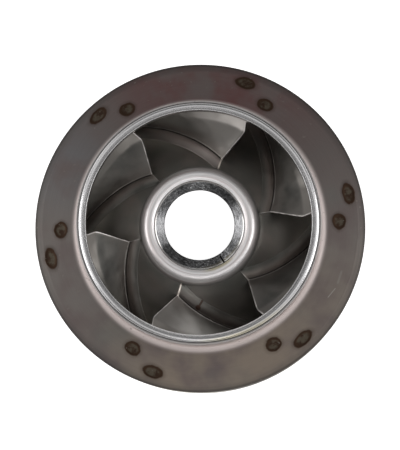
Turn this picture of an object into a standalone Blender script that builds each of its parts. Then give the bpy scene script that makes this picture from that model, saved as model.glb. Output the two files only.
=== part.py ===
"""A closed pump impeller of pressed stainless sheet, lying with its suction eye up.

Metres, +Z up. The origin is on the floor, at the centre of the hub bush's rear face. +Z runs along
the shaft's axis towards the eye. Profiles and vane sizes are named in millimetres.
"""

import math

import bmesh
import bpy
from mathutils import Matrix, Vector

MM = 0.001

# Overall sizes
RIM_RADIUS = 70.0
SHEET = 1.5
VANE_SHEET = 1.2
TOUCH_GAP = 0.3
TURN_STEPS = 48
FILLET_PIECES = 5
WIDE_FILLET_PIECES = 6
CREST_PIECES = 8
ROLL_PIECES = 4
EDGE_BREAK = 0.2

# Hub bush, with a bore that opens towards the rear for a split taper sleeve
BORE_RADIUS = 14.75
BORE_HALF_ANGLE = math.radians(8.0)
BUSH_NOSE_RADIUS = 19.0
BUSH_BODY_RADIUS = 22.0
BUSH_SHOULDER_Z = 26.0
BUSH_FACE_Z = 31.5
BUSH_CHAMFER = 0.3
SLIT_ANGLE = math.radians(-56.6)
SLIT_WIDTH = 0.45
SLIT_INNER_RADIUS = 15.7
SLIT_DEPTH = 1.6

# Back shroud: flat rim, cone and rolled lip
BACK_TOP_Z = 6.5
CONE_SLOPE = math.radians(30.0)
CONE_TOP_FILLET = 2.5
CONE_FOOT_FILLET = 20.0
LIP_INNER_RADIUS = BUSH_NOSE_RADIUS + TOUCH_GAP
LIP_OUTER_RADIUS = 23.6
LIP_ROLL = (LIP_OUTER_RADIUS - LIP_INNER_RADIUS) / 2
LIP_CENTRE_RADIUS = LIP_INNER_RADIUS + LIP_ROLL
LIP_TOP_Z = 32.3
LIP_CENTRE_Z = LIP_TOP_Z - LIP_ROLL
LIP_TAIL_Z = BUSH_SHOULDER_Z + TOUCH_GAP

# Front shroud: sloping disc, fillet and neck
RIM_TOP_Z = 26.4
RIM_BEND_RADIUS = 66.8
RIM_BEND_Z = 27.4
FILLET_FOOT_RADIUS = 54.0
FILLET_FOOT_Z = 30.0
NECK_RADIUS = 50.8
NECK_TOP_Z = 43.4
FILLET_RADIUS = FILLET_FOOT_RADIUS - NECK_RADIUS
FILLET_CENTRE_Z = FILLET_FOOT_Z + FILLET_RADIUS
NECK_INNER_RADIUS = NECK_RADIUS - SHEET
SEAT_RADIUS = 50.1
SEAT_Z = 37.0

# Neck ring, seated in the mouth of the neck
RING_TOP_Z = 44.0
RING_OUTER_RADIUS = SEAT_RADIUS - TOUCH_GAP
RING_INNER_RADIUS = 46.8
RING_BOTTOM_Z = SEAT_Z + TOUCH_GAP
RING_FLARE_RADIUS = 49.2
RING_FLARE_TOP_Z = 40.2
RING_GROOVE_RADIUS = 47.7
RING_GROOVE_WIDTH = 0.25
RING_GROOVE_DEPTH = 0.6
RING_INNER_LAND_Z = 43.75

# Vanes: the two folds of each are drawn on the walls, with a blade angle that varies along them
VANE_COUNT = 6
VANE_STATIONS = 18
FINE_STEPS = 12
WALL_SAMPLES = 160
BLADE_SHARES = (0.0, 0.35, 1.0)
HUB_FOLD_START_RADIUS = 30.6
HUB_FOLD_START_ANGLE = math.radians(11.7)
HUB_BLADE_ANGLES = (math.radians(33.5), math.radians(39.5), math.radians(34.0))
SHROUD_FOLD_START_DROP = 1.0
SHROUD_FOLD_START_ANGLE = math.radians(5.7)
SHROUD_BLADE_ANGLES = (math.radians(11.0), math.radians(17.0), math.radians(29.5))
TRAILING_RADIUS = 69.3

# The web's kink, which is deepest at the leading edge and dies out along the vane
KINK_PLACE = 0.70
KINK_RISE = 2.0
KINK_TURN = math.radians(-3.3)
KINK_END = 0.3

# The foot flange on the cone and the top flange under the front shroud
FOOT_WIDTH = 6.5
FOOT_FRONT_EXTRA = 0.8
FOOT_FRONT_SHARE = 0.35
FOOT_BEND_RADIUS = 2.2
TOP_FLANGE_FIRST_WIDTH = 4.0
TOP_FLANGE_WIDTH = 6.5
TOP_FLANGE_START = 0.3
TOP_FLANGE_FULL = 0.45
TOP_FLANGE_END_WIDTH = 4.0
TOP_BEND_RADIUS = 1.4
WAY_PART = 0.4
FOOT_ROWS = 2
BEND_ROWS = 4
LOWER_WEB_ROWS = 3
UPPER_WEB_ROWS = 2
TOP_ROWS = 3

STEEL = (0.42, 0.40, 0.38, 1.0)
BRIGHT_STEEL = (0.70, 0.69, 0.68, 1.0)
DARK_STEEL = (0.33, 0.32, 0.31, 1.0)


def clear_scene():
    """Take away whatever the scene holds."""
    for item in list(bpy.data.objects):
        bpy.data.objects.remove(item, do_unlink=True)


def new_collection(name):
    """Make a collection under the scene's own."""
    collection = bpy.data.collections.new(name)
    bpy.context.scene.collection.children.link(collection)
    return collection


def steel(name, colour, roughness):
    """Make a metallic material."""
    material = bpy.data.materials.new(name)
    material.use_nodes = True
    shader = material.node_tree.nodes["Principled BSDF"]
    shader.inputs["Base Color"].default_value = colour
    shader.inputs["Metallic"].default_value = 1.0
    shader.inputs["Roughness"].default_value = roughness
    return material


def arc(centre_radius, centre_z, radius, start_deg, end_deg, pieces):
    """Points (r, z) of a circular arc."""
    points = []
    for step in range(pieces + 1):
        angle = math.radians(start_deg + (end_deg - start_deg) * step / pieces)
        points.append((centre_radius + radius * math.cos(angle), centre_z + radius * math.sin(angle)))
    return points


def turned(name, profile, collection, material):
    """Turn a closed profile, listed down its outer side first, about the shaft's axis."""
    mesh = bpy.data.meshes.new(name)
    points = [(radius * MM, 0.0, z * MM) for radius, z in profile]
    edges = [(index, (index + 1) % len(points)) for index in range(len(points))]
    mesh.from_pydata(points, edges, [])
    item = bpy.data.objects.new(name, mesh)
    collection.objects.link(item)
    screw = item.modifiers.new("Turn", "SCREW")
    screw.axis = "Z"
    screw.steps = TURN_STEPS
    screw.render_steps = TURN_STEPS
    screw.use_merge_vertices = True
    screw.merge_threshold = 0.00001
    screw.use_smooth_shade = True
    mesh.materials.append(material)
    return item


def cone_face(offset):
    """The face of the cone between its two fillets, moved into the sheet by an offset."""
    turn = 90 - math.degrees(CONE_SLOPE)
    top_centre = LIP_OUTER_RADIUS + CONE_TOP_FILLET
    top = arc(top_centre, LIP_CENTRE_Z, CONE_TOP_FILLET + offset, 180, 180 + turn, FILLET_PIECES)
    start_radius = top_centre - CONE_TOP_FILLET * math.cos(math.radians(turn))
    start_z = LIP_CENTRE_Z - CONE_TOP_FILLET * math.sin(math.radians(turn))
    meeting_radius = start_radius + (start_z - BACK_TOP_Z) / math.tan(CONE_SLOPE)
    foot_centre = meeting_radius + CONE_FOOT_FILLET * math.tan(CONE_SLOPE / 2)
    centre_z = BACK_TOP_Z + CONE_FOOT_FILLET
    foot = arc(foot_centre, centre_z, CONE_FOOT_FILLET + offset, 180 + turn, 270, FILLET_PIECES)
    return top + foot


def back_upper_face():
    """The wetted face of the back shroud, from the top of the cone to the rim."""
    return cone_face(0.0) + [(RIM_RADIUS - EDGE_BREAK, BACK_TOP_Z)]


def back_lower_face():
    """The rear face of the back shroud, from the rim to the top of the cone."""
    return [(RIM_RADIUS - EDGE_BREAK, BACK_TOP_Z - SHEET)] + list(reversed(cone_face(SHEET)))


def front_upper_face():
    """The outer face of the front shroud, from the neck's mouth to the rim."""
    fillet = arc(FILLET_FOOT_RADIUS, FILLET_CENTRE_Z, FILLET_RADIUS, 180, 270, FILLET_PIECES)
    bend = [(RIM_BEND_RADIUS, RIM_BEND_Z), (RIM_RADIUS - EDGE_BREAK, RIM_TOP_Z)]
    return [(NECK_RADIUS, NECK_TOP_Z - EDGE_BREAK)] + fillet + bend


def front_lower_face():
    """The wetted face of the front shroud, from the seat in the neck to the rim."""
    radius = FILLET_RADIUS + SHEET
    fillet = arc(FILLET_FOOT_RADIUS, FILLET_CENTRE_Z, radius, 180, 270, WIDE_FILLET_PIECES)
    bend = [(RIM_BEND_RADIUS, RIM_BEND_Z - SHEET), (RIM_RADIUS - EDGE_BREAK, RIM_TOP_Z - SHEET)]
    return [(NECK_INNER_RADIUS, SEAT_Z)] + fillet + bend


def make_back_shroud(collection, material):
    """Rim, cone and rolled lip, pressed from one sheet."""
    crest = arc(LIP_CENTRE_RADIUS, LIP_CENTRE_Z, LIP_ROLL, 180, 0, CREST_PIECES)
    rim = [(RIM_RADIUS, BACK_TOP_Z - EDGE_BREAK), (RIM_RADIUS, BACK_TOP_Z - SHEET + EDGE_BREAK)]
    inner_roll = arc(LIP_CENTRE_RADIUS, LIP_CENTRE_Z, LIP_ROLL - SHEET, 0, 180, ROLL_PIECES)
    tail = [(LIP_INNER_RADIUS + SHEET, LIP_TAIL_Z), (LIP_INNER_RADIUS, LIP_TAIL_Z)]
    profile = crest + back_upper_face()[1:] + rim + back_lower_face() + inner_roll[1:] + tail
    return turned("back_shroud", profile, collection, material)


def make_front_shroud(collection, material):
    """Disc, fillet and neck, pressed from one sheet and bored for the neck ring."""
    rim = [(RIM_RADIUS, RIM_TOP_Z - EDGE_BREAK), (RIM_RADIUS, RIM_TOP_Z - SHEET + EDGE_BREAK)]
    seat = [(SEAT_RADIUS, SEAT_Z), (SEAT_RADIUS, NECK_TOP_Z), (NECK_RADIUS - EDGE_BREAK, NECK_TOP_Z)]
    profile = front_upper_face() + rim + list(reversed(front_lower_face())) + seat
    return turned("front_shroud", profile, collection, material)


def make_neck_ring(collection, material):
    """The turned ring in the neck: a flat land, a hairline groove and a flare inside."""
    groove_inner = RING_GROOVE_RADIUS - RING_GROOVE_WIDTH / 2
    groove_outer = RING_GROOVE_RADIUS + RING_GROOVE_WIDTH / 2
    groove_floor = RING_TOP_Z - RING_GROOVE_DEPTH
    profile = [
        (RING_OUTER_RADIUS, RING_TOP_Z - EDGE_BREAK),
        (RING_OUTER_RADIUS, RING_BOTTOM_Z),
        (RING_FLARE_RADIUS, RING_BOTTOM_Z),
        (RING_INNER_RADIUS, RING_FLARE_TOP_Z),
        (RING_INNER_RADIUS, RING_INNER_LAND_Z - EDGE_BREAK),
        (RING_INNER_RADIUS + EDGE_BREAK, RING_INNER_LAND_Z),
        (groove_inner, RING_INNER_LAND_Z),
        (groove_inner, groove_floor),
        (groove_outer, groove_floor),
        (groove_outer, RING_TOP_Z),
        (RING_OUTER_RADIUS - EDGE_BREAK, RING_TOP_Z),
    ]
    return turned("neck_ring", profile, collection, material)


def make_hub_bush(collection, cutters, material):
    """The turned bush, with its taper bore and the slit across its front face."""
    bore_edge_z = BUSH_FACE_Z - BUSH_CHAMFER
    rear_bore = BORE_RADIUS + bore_edge_z * math.tan(BORE_HALF_ANGLE)
    profile = [
        (BUSH_NOSE_RADIUS - BUSH_CHAMFER, BUSH_FACE_Z),
        (BUSH_NOSE_RADIUS, BUSH_FACE_Z - BUSH_CHAMFER),
        (BUSH_NOSE_RADIUS, BUSH_SHOULDER_Z),
        (BUSH_BODY_RADIUS, BUSH_SHOULDER_Z),
        (BUSH_BODY_RADIUS, BUSH_CHAMFER),
        (BUSH_BODY_RADIUS - BUSH_CHAMFER, 0.0),
        (rear_bore, 0.0),
        (BORE_RADIUS, bore_edge_z),
        (BORE_RADIUS + BUSH_CHAMFER, BUSH_FACE_Z),
    ]
    bush = turned("hub_bush", profile, collection, material)
    length = BUSH_NOSE_RADIUS + 1.0 - SLIT_INNER_RADIUS
    bpy.ops.mesh.primitive_cube_add(size=1.0)
    cutter = bpy.context.active_object
    cutter.name = "slit_cutter"
    middle = SLIT_INNER_RADIUS + length / 2
    cutter.location = (
        middle * math.cos(SLIT_ANGLE) * MM,
        middle * math.sin(SLIT_ANGLE) * MM,
        BUSH_FACE_Z * MM,
    )
    cutter.rotation_euler = (0.0, 0.0, SLIT_ANGLE)
    cutter.scale = (length * MM, SLIT_WIDTH * MM, 2 * SLIT_DEPTH * MM)
    cutter.display_type = "WIRE"
    cutter.hide_render = True
    for owner in list(cutter.users_collection):
        owner.objects.unlink(cutter)
    cutters.objects.link(cutter)
    cut = bush.modifiers.new("Slit", "BOOLEAN")
    cut.operation = "DIFFERENCE"
    cut.solver = "EXACT"
    cut.object = cutter
    return bush


class Wall:
    """A wetted face in half section, set off towards the passage, and measured along its length."""

    def __init__(self, outline, side):
        standoff = TOUCH_GAP + VANE_SHEET / 2
        self.points = []
        self.lengths = [0.0]
        spans = list(zip(outline, outline[1:]))
        total = sum(math.dist(start, end) for start, end in spans)
        for start, end in spans:
            run = math.dist(start, end)
            normal = (-(end[1] - start[1]) / run * side, (end[0] - start[0]) / run * side)
            pieces = max(1, round(WALL_SAMPLES * run / total))
            for step in range(pieces + 1):
                share = step / pieces
                radius = start[0] + (end[0] - start[0]) * share + normal[0] * standoff
                z = start[1] + (end[1] - start[1]) * share + normal[1] * standoff
                self.points.append((radius, z))
        for start, end in zip(self.points, self.points[1:]):
            self.lengths.append(self.lengths[-1] + math.dist(start, end))

    def at(self, distance):
        """The point (r, z) at a distance along the wall."""
        bounded = min(max(distance, 0.0), self.lengths[-1])
        for index in range(len(self.points) - 1):
            if self.lengths[index + 1] >= bounded:
                break
        run = self.lengths[index + 1] - self.lengths[index]
        share = (bounded - self.lengths[index]) / run if run else 0.0
        start = self.points[index]
        end = self.points[index + 1]
        return (start[0] + (end[0] - start[0]) * share, start[1] + (end[1] - start[1]) * share)

    def distance_to(self, radius):
        """The distance along the wall where it passes a radius on its way out."""
        for index in range(len(self.points) - 1):
            start = self.points[index]
            end = self.points[index + 1]
            if start[0] < radius <= end[0]:
                share = (radius - start[0]) / (end[0] - start[0])
                return self.lengths[index] + share * (self.lengths[index + 1] - self.lengths[index])
        return 0.0 if radius < self.points[0][0] else self.lengths[-1]


def blade_angle(blade_angles, share):
    """The blade angle at a share of the vane's length, between the three that are given."""
    first = 0 if share < BLADE_SHARES[1] else 1
    run = BLADE_SHARES[first + 1] - BLADE_SHARES[first]
    part = (share - BLADE_SHARES[first]) / run
    return blade_angles[first] + (blade_angles[first + 1] - blade_angles[first]) * part


def vane_fold(wall, start, end, start_angle, blade_angles):
    """Stations (distance, angle, blade angle) along the fold that a vane draws on a wall."""
    stations = []
    angle = start_angle
    steps = VANE_STATIONS * FINE_STEPS
    stride = (end - start) / steps
    for step in range(steps + 1):
        blade = blade_angle(blade_angles, step / steps)
        distance = start + stride * step
        if step % FINE_STEPS == 0:
            stations.append((distance, angle, blade))
        radius = wall.at(distance + stride / 2)[0]
        angle += stride / (radius * math.tan(blade))
    return stations


def on_wall(wall, distance, angle):
    """A point in space on a wall, at a distance along it and an angle about the axis."""
    radius, z = wall.at(distance)
    return Vector((radius * math.cos(angle), radius * math.sin(angle), z)) * MM


def smooth(low, high, value):
    """Rise gently from 0 at low to 1 at high."""
    share = min(max((value - low) / (high - low), 0.0), 1.0)
    return share * share * (3.0 - 2.0 * share)


def kink_point(low, high, share):
    """The point where the web kinks, which falls back to the straight line along the vane."""
    depth = max(0.0, 1.0 - share / KINK_END)
    point = low.lerp(high, KINK_PLACE)
    turned_point = Matrix.Rotation(KINK_TURN * depth, 4, "Z") @ point
    return turned_point + Vector((0.0, 0.0, KINK_RISE * MM * depth))


def straight(start, end, pieces):
    """Points from a start up to, but not including, an end."""
    return [start.lerp(end, step / pieces) for step in range(pieces)]


def bend(corner, before, after, radius):
    """The arc that rounds a corner between the ways to the point before and the point after it."""
    one = (before - corner).normalized()
    two = (after - corner).normalized()
    half = one.angle(two) / 2
    reach = radius * MM / math.tan(half)
    centre = corner + (one + two).normalized() * (reach / math.cos(half))
    first = corner + one * reach - centre
    last = corner + two * reach - centre
    sweep = first.angle(last)
    points = []
    for step in range(BEND_ROWS + 1):
        part = step / BEND_ROWS
        spoke = first * math.sin((1.0 - part) * sweep) + last * math.sin(part * sweep)
        points.append(centre + spoke / math.sin(sweep))
    return points


def foot_size(share, wall, fold):
    """How far the foot flange reaches along the cone and about the axis, from its fold."""
    front = max(0.0, 1.0 - share / FOOT_FRONT_SHARE)
    width = FOOT_WIDTH + FOOT_FRONT_EXTRA * front * front
    reach = width * math.cos(fold[2] * (1.0 - front))
    turn = width * math.sin(fold[2]) / wall.at(fold[0])[0] * (1.0 - front)
    return -reach, turn


def top_size(share, wall, fold):
    """How far the top flange reaches under the front shroud, from its fold to short of the rim."""
    growth = smooth(TOP_FLANGE_START, TOP_FLANGE_FULL, share)
    width = TOP_FLANGE_FIRST_WIDTH + (TOP_FLANGE_WIDTH - TOP_FLANGE_FIRST_WIDTH) * growth
    reach = min(width * math.cos(fold[2]), wall.distance_to(TRAILING_RADIUS) - fold[0])
    turn = reach * math.tan(fold[2]) / wall.at(fold[0])[0]
    return reach, -turn


def flange(wall, fold, size, parts):
    """Points on a wall, at parts of a flange's width from its fold."""
    return [on_wall(wall, fold[0] + size[0] * part, fold[1] + size[1] * part) for part in parts]


def flange_parts(wall, fold, size, bend_end, rows):
    """The parts of a flange's width where its rows lie, from the bend's end to the free edge."""
    corner, edge = flange(wall, fold, size, (0.0, 1.0))
    first = (bend_end - corner).length / (edge - corner).length
    return [first + (1.0 - first) * step / rows for step in range(1, rows + 1)]


def vane_section(share, hub_wall, hub, shroud_wall, shroud):
    """One row of points across a vane: foot flange, bend, web, bend and top flange."""
    foot = foot_size(share, hub_wall, hub)
    low, foot_way = flange(hub_wall, hub, foot, (0.0, WAY_PART))
    high = on_wall(shroud_wall, shroud[0], shroud[1])
    kink = kink_point(low, high, share)
    foot_bend = bend(low, foot_way, kink, FOOT_BEND_RADIUS)
    foot_parts = flange_parts(hub_wall, hub, foot, foot_bend[0], FOOT_ROWS)
    row = flange(hub_wall, hub, foot, reversed(foot_parts)) + foot_bend[:-1]
    row += straight(foot_bend[-1], kink, LOWER_WEB_ROWS)
    if share < TOP_FLANGE_START:
        return row + straight(kink, high, UPPER_WEB_ROWS + BEND_ROWS) + [high]
    top = top_size(share, shroud_wall, shroud)
    top_way = flange(shroud_wall, shroud, top, (WAY_PART,))[0]
    top_bend = bend(high, kink, top_way, TOP_BEND_RADIUS)
    top_parts = flange_parts(shroud_wall, shroud, top, top_bend[-1], TOP_ROWS)
    row += straight(kink, top_bend[0], UPPER_WEB_ROWS) + top_bend
    return row + flange(shroud_wall, shroud, top, top_parts)


def vane_mesh():
    """The bent sheet of one vane, as an open surface through the middle of its thickness."""
    hub_wall = Wall(back_upper_face(), 1.0)
    shroud_wall = Wall(front_lower_face(), -1.0)
    hub_start = hub_wall.distance_to(HUB_FOLD_START_RADIUS)
    hub_end = hub_wall.distance_to(TRAILING_RADIUS)
    shroud_end = shroud_wall.distance_to(TRAILING_RADIUS) - TOP_FLANGE_END_WIDTH
    hub_fold = vane_fold(hub_wall, hub_start, hub_end, HUB_FOLD_START_ANGLE, HUB_BLADE_ANGLES)
    shroud_fold = vane_fold(
        shroud_wall, SHROUD_FOLD_START_DROP, shroud_end, SHROUD_FOLD_START_ANGLE, SHROUD_BLADE_ANGLES
    )
    builder = bmesh.new()
    rows = []
    for index, (hub, shroud) in enumerate(zip(hub_fold, shroud_fold)):
        section = vane_section(index / VANE_STATIONS, hub_wall, hub, shroud_wall, shroud)
        rows.append([builder.verts.new(point) for point in section])
    for row, following in zip(rows, rows[1:]):
        for index in range(min(len(row), len(following)) - 1):
            face = builder.faces.new((row[index], following[index], following[index + 1], row[index + 1]))
            face.smooth = True
    bmesh.ops.recalc_face_normals(builder, faces=builder.faces)
    mesh = bpy.data.meshes.new("vane")
    builder.to_mesh(mesh)
    builder.free()
    return mesh


def make_vanes(collection, material):
    """Six vanes that share one mesh, a sixth of a turn apart."""
    mesh = vane_mesh()
    mesh.materials.append(material)
    for index in range(VANE_COUNT):
        vane = bpy.data.objects.new(f"vane_{index + 1}", mesh)
        vane.rotation_euler = (0.0, 0.0, math.tau * index / VANE_COUNT)
        collection.objects.link(vane)
        solidify = vane.modifiers.new("Thickness", "SOLIDIFY")
        solidify.thickness = VANE_SHEET * MM
        solidify.offset = 0.0


def main():
    """Build every piece of the impeller."""
    clear_scene()
    impeller = new_collection("pump_impeller")
    cutters = new_collection("cutters")
    sheet_steel = steel("tinted sheet", STEEL, 0.4)
    land_steel = steel("turned ring", BRIGHT_STEEL, 0.25)
    bush_steel = steel("turned bush", DARK_STEEL, 0.3)
    vane_steel = steel("vane sheet", DARK_STEEL, 0.35)
    make_back_shroud(impeller, sheet_steel)
    make_front_shroud(impeller, sheet_steel)
    make_neck_ring(impeller, land_steel)
    make_hub_bush(impeller, cutters, bush_steel)
    make_vanes(impeller, vane_steel)


main()
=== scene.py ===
"""The looks of a pump impeller of pressed stainless sheet: fine meshes, steels, studio light and camera.

Profiles and vane sizes are in millimetres, as in the part's source. The object stands with its
suction eye up, its axis on Z and its rear face on the floor.
"""

from bisect import bisect_left
from math import acos, asin, atan2, cos, degrees, dist, hypot, radians, sin, tan, tau

import bmesh
import bpy
from mathutils import Matrix, Vector


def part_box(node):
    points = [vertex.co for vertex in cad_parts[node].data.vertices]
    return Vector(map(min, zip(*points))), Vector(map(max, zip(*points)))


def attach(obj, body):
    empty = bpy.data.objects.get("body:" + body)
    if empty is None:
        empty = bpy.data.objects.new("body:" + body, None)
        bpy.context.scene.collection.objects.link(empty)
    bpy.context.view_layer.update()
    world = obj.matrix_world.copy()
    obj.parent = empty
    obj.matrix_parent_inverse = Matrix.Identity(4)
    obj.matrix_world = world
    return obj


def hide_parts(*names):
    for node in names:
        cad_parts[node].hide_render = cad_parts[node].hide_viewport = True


MM = 0.001
BODY = "root"

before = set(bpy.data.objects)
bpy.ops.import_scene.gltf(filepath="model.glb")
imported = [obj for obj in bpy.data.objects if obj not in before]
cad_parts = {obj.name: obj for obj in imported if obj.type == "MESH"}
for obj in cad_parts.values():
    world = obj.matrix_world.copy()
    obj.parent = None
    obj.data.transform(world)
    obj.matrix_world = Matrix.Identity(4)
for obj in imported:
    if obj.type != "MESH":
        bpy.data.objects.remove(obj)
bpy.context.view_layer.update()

# Sizes read from the frame
RIM_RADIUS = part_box("front_shroud")[1][0] / MM
RING_TOP_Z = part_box("neck_ring")[1][2] / MM
RING_OUTER_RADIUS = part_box("neck_ring")[1][0] / MM
RING_BOTTOM_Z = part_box("neck_ring")[0][2] / MM
NECK_TOP_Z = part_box("front_shroud")[1][2] / MM
LIP_TOP_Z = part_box("back_shroud")[1][2] / MM
BUSH_FACE_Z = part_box("hub_bush")[1][2] / MM
BUSH_BODY_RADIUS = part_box("hub_bush")[1][0] / MM

# Sheets, gaps and turning
SHEET = 1.5
VANE_SHEET = 0.8
VANE_GAP = 0.1
TOUCH_GAP = 0.3
TURN_STEPS = 360
SHROUD_STEPS = 720
ROUND_PIECES = 5
CURVE_PIECES = 14
SMOOTH_LIMIT = radians(40.0)

# Hub bush
BORE_RADIUS = 14.75
BORE_HALF_ANGLE = radians(8.0)
BUSH_NOSE_RADIUS = 19.0
BUSH_SHOULDER_Z = 26.0
BUSH_EDGE = 0.3
SLIT_ANGLE = radians(-56.6)
SLIT_WIDTH = 0.7
SLIT_INNER_RADIUS = 15.7
SLIT_DEPTH = 1.6
MARK_PITCH = 0.25
MARK_SLOPE = radians(28.0)
BUSH_FACE_RADIUS = 18.3
BUSH_CHAMFER_DROP = 0.35

# Back shroud
BACK_TOP_Z = 6.5
CONE_SLOPE = radians(30.0)
CONE_TOP_FILLET = 2.5
CONE_FOOT_FILLET = 20.0
LIP_INNER_RADIUS = BUSH_NOSE_RADIUS + TOUCH_GAP
LIP_OUTER_RADIUS = 23.6
LIP_ROLL = (LIP_OUTER_RADIUS - LIP_INNER_RADIUS) / 2
LIP_CENTRE_RADIUS = LIP_INNER_RADIUS + LIP_ROLL
LIP_CENTRE_Z = LIP_TOP_Z - LIP_ROLL
LIP_CREST_RADIUS = 21.15
LIP_ROUND = 3.0
LIP_FIT_GAP = 0.12
LIP_CREST_END = 60.0
LIP_SHOULDER_ROUND = 4.5
LIP_SHOULDER_END = 22.0
LIP_FLANK_FILLET = 1.5
LIP_TAIL_Z = 26.3

# Front shroud
RIM_TOP_Z = 26.4
RIM_BEND_RADIUS = 66.8
RIM_BEND_Z = 27.4
RIM_BEND_ROUND = 3.0
RIM_EDGE = 0.35
FILLET_FOOT_RADIUS = 54.0
FILLET_FOOT_Z = 30.0
NECK_RADIUS = 50.8
FILLET_RADIUS = FILLET_FOOT_RADIUS - NECK_RADIUS
FILLET_CENTRE_Z = FILLET_FOOT_Z + FILLET_RADIUS
NECK_INNER_RADIUS = NECK_RADIUS - SHEET
NECK_EDGE = 0.2
SEAT_RADIUS = 50.1
SEAT_Z = 37.0
FACE_SPACING = 0.3

# Weld marks, in pairs over each vane's top flange
WELD_PAIRS = 6
WELD_TURN = tau / WELD_PAIRS
OUTER_WELD = {"radius": 64.4, "angle": radians(12.2), "half_length": 4.3, "half_width": 2.5}
INNER_WELD = {"radius": 58.8, "angle": radians(1.6), "half_length": 3.3, "half_width": 2.7}
WELD_DIP = 0.14
WELD_RIDGE = 0.05

# Neck ring
RING_INNER_RADIUS = 46.8
RING_FLARE_RADIUS = 49.2
RING_FLARE_TOP_Z = 40.2
RING_GROOVE_RADIUS = 47.7
RING_GROOVE_WIDTH = 0.3
RING_GROOVE_DEPTH = 0.35
RING_INNER_LAND_Z = 43.75
RING_EDGE = 0.2
LAND_ROUND = 2.6
LAND_CREST_RADIUS = 48.15

# Vanes: the two folds of each are drawn on the walls, with a blade angle that varies along them
VANE_COUNT = 6
VANE_STATIONS = 90
FINE_STEPS = 3
WALL_SAMPLES = 400
BLADE_SHARES = (0.0, 0.35, 1.0)
HUB_FOLD_START_RADIUS = 30.6
HUB_FOLD_START_ANGLE = radians(11.7)
HUB_BLADE_ANGLES = (radians(33.5), radians(39.5), radians(34.0))
SHROUD_FOLD_START_DROP = 1.0
SHROUD_FOLD_START_ANGLE = radians(5.7)
SHROUD_BLADE_ANGLES = (radians(11.0), radians(17.0), radians(29.5))
TRAILING_RADIUS = 69.3

# The web's kink, which is deepest at the leading edge and dies out along the vane
KINK_PLACE = 0.70
KINK_RISE = 2.0
KINK_TURN = radians(-3.3)
KINK_END = 0.3
KINK_SOFT_ROWS = 2
KINK_SOFT_PASSES = 3

# The foot flange on the cone and the top flange under the front shroud
FOOT_WIDTH = 6.5
FOOT_FRONT_EXTRA = 0.8
FOOT_FRONT_SHARE = 0.35
FOOT_BEND_RADIUS = 0.9
FOOT_EDGE_DROP = 0.46
FOOT_EDGE_THIN = 0.85
TOP_FLANGE_FIRST_WIDTH = 4.0
TOP_FLANGE_WIDTH = 6.5
TOP_FLANGE_START = 0.3
TOP_FLANGE_FULL = 0.45
TOP_FLANGE_END_WIDTH = 4.0
TOP_BEND_RADIUS = 1.4
WAY_PART = 0.4
FOOT_ROWS = 8
BEND_ROWS = 8
LOWER_WEB_ROWS = 12
UPPER_WEB_ROWS = 8
TOP_ROWS = 6
EDGE_BEVEL = 0.15
EDGE_LIMIT = radians(50.0)

# Marks by their places, seen along the axis: scratches on the front shroud, a stain on a vane's foot
SCRATCH = ((53.8, -30.4), (57.0, -26.5))
RUB = ((57.9, -24.6), (59.7, -19.2))
STAIN_SPOT = (-0.85, -34.2)
STREAK_END = (2.9, -28.5)

# Painted shade: two darker patches on the cone, by their angles about the axis; the back one also keeps
# the webs darker
BACK_PATCH = radians(50.0)
FRONT_PATCH = radians(-52.0)
PATCH_HALF = radians(22.0)
PATCH_SOFT = radians(20.0)
PATCH_SHARE = 0.8

# Camera: about seven degrees off the axis, 700 mm from the rim's plane
CAMERA_DISTANCE = 700.0
CAMERA_TILT_X = radians(1.8)
CAMERA_TILT_Y = radians(-7.0)
CAMERA_AIM = (0.08, 0.65, RIM_TOP_Z)
CAMERA_LENS = 132.16
CAMERA_SENSOR = 36.0

# The soft boxes' distance from the origin, in metres
LAMP_DISTANCE = 1.2


def arc(centre_radius, centre_z, radius, start_deg, end_deg, pieces=CURVE_PIECES):
    """Points (r, z) of a circular arc."""
    points = []
    for step in range(pieces + 1):
        angle = radians(start_deg + (end_deg - start_deg) * step / pieces)
        points.append((centre_radius + radius * cos(angle), centre_z + radius * sin(angle)))
    return points


def rounded(corner, before, after, radius, pieces=ROUND_PIECES):
    """The arc that rounds a corner between the ways to the point before and the point after it."""
    corner, before, after = Vector(corner), Vector(before), Vector(after)
    one = (before - corner).normalized()
    two = (after - corner).normalized()
    half = one.angle(two) / 2
    reach = radius / tan(half)
    centre = corner + (one + two).normalized() * (reach / cos(half))
    first = corner + one * reach - centre
    last = corner + two * reach - centre
    sweep = first.angle(last)
    points = []
    for step in range(pieces + 1):
        part = step / pieces
        spoke = first * sin((1.0 - part) * sweep) + last * sin(part * sweep)
        points.append(centre + spoke / sin(sweep))
    return points


def rounded_profile(corners):
    """A closed profile from corners (r, z, radius), each rounded by its own radius."""
    points = []
    for index, (radius, z, edge) in enumerate(corners):
        if edge == 0.0:
            points.append((radius, z))
            continue
        before = corners[index - 1][:2]
        after = corners[(index + 1) % len(corners)][:2]
        points += [tuple(point) for point in rounded((radius, z), before, after, edge)]
    return points


def between(start, end, share):
    """The point (r, z) at a share of the way from a start to an end."""
    return (start[0] + (end[0] - start[0]) * share, start[1] + (end[1] - start[1]) * share)


def around(angle, radius, z):
    """A point in space from its angle about the axis, its radius and its height."""
    return Vector((radius * cos(angle), radius * sin(angle), z))


def plain(points):
    """Corners with no rounding of their own."""
    return [(radius, z, 0.0) for radius, z in points]


def run(start, end, spacing):
    """Points between a start and an end, both left out, at about a spacing."""
    pieces = max(1, round(dist(start, end) / spacing))
    return [between(start, end, step / pieces) for step in range(1, pieces)]


def add(name, data):
    """Put a new object in the scene."""
    item = bpy.data.objects.new(name, data)
    bpy.context.scene.collection.objects.link(item)
    return item


def show(name, mesh, material, slot, *nodes):
    """Put a mesh in the scene in place of the frame's plain nodes."""
    item = add(name, mesh)
    mesh.materials.append(material)
    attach(item, BODY)
    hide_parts(*nodes)
    return item


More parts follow.
